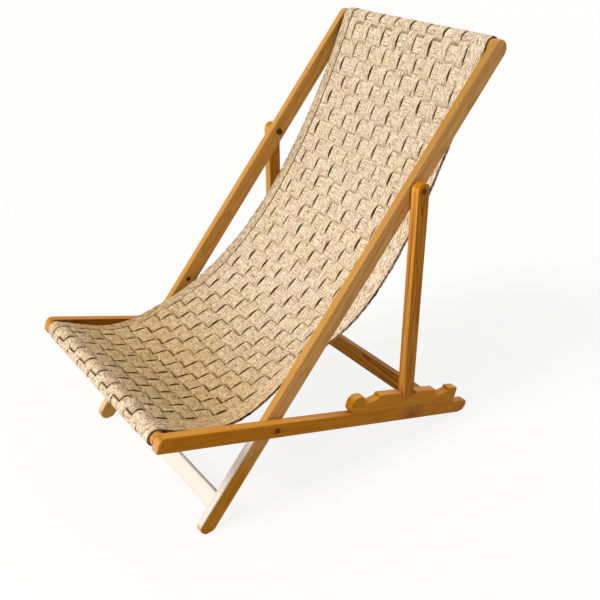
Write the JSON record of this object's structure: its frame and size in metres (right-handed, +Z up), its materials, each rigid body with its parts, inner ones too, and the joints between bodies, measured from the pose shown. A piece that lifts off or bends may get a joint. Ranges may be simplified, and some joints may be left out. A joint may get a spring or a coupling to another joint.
{
  "type": "chaise longue",
  "caption": "Folding wooden deck chair with a woven straw sling hung between round crossbars, notched side racks and swinging prop legs that set its recline.",
  "frame": {"origin": "on the floor under the middle of the chair's box", "axes": "+Z up, -Y to the front where the sitter's knees are, +X to the sitter's left"},
  "size_m": [0.5878, 0.9332, 0.9775],
  "materials": {
    "pine": "satin varnish",
    "pine_dark": "satin varnish",
    "pine_pale": "satin varnish",
    "straw": "matte woven straw",
    "bronzed_steel": "dark bronzed"
  },
  "bodies": {
    "back_frame": {"back_rail_left": "pine", "back_rail_right": "pine", "top_crossbar": "pine_pale", "foot_stretcher": "pine_pale", "sling": "straw", "seat_pivot_bolt_left": "bronzed_steel", "seat_pivot_bolt_right": "bronzed_steel", "prop_pivot_bolt_left": "bronzed_steel", "prop_pivot_bolt_right": "bronzed_steel", "seat_pivot_washer_left": "bronzed_steel", "seat_pivot_washer_right": "bronzed_steel", "prop_pivot_washer_left": "bronzed_steel", "prop_pivot_washer_right": "bronzed_steel", "seat_pivot_nut_left": "bronzed_steel", "seat_pivot_nut_right": "bronzed_steel", "prop_pivot_nut_left": "bronzed_steel", "prop_pivot_nut_right": "bronzed_steel", "rail_peg_left": "bronzed_steel", "rail_peg_right": "bronzed_steel"},
    "seat_frame": {"seat_rail_left": "pine", "seat_rail_right": "pine", "rack_left": "pine", "rack_right": "pine", "front_crossbar": "pine_pale", "rear_crossbar": "pine_dark"},
    "prop_left": {"prop_leg_left": "pine_dark"},
    "prop_right": {"prop_leg_right": "pine_dark"}
  },
  "joints": [
    {"name": "seat_fold", "type": "hinge", "parent": "back_frame", "child": "seat_frame", "pos_m": [0, -0.18057, 0.21903], "axis": [-1, 0, 0], "range_deg": [0, 100], "deforming": ["sling"]},
    {"name": "prop_swing_left", "type": "hinge", "parent": "back_frame", "child": "prop_left", "pos_m": [0.2792, 0.21187, 0.68342], "axis": [1, 0, 0], "range_deg": [0, 140]},
    {"name": "prop_swing_right", "type": "hinge", "parent": "back_frame", "child": "prop_right", "pos_m": [-0.2792, 0.21187, 0.68342], "axis": [1, 0, 0], "range_deg": [0, 140]}
  ],
  "couplings": [
    {"joint": "prop_swing_left", "follows": "seat_fold", "ratio": 1.4},
    {"joint": "prop_swing_right", "follows": "seat_fold", "ratio": 1.4}
  ]
}
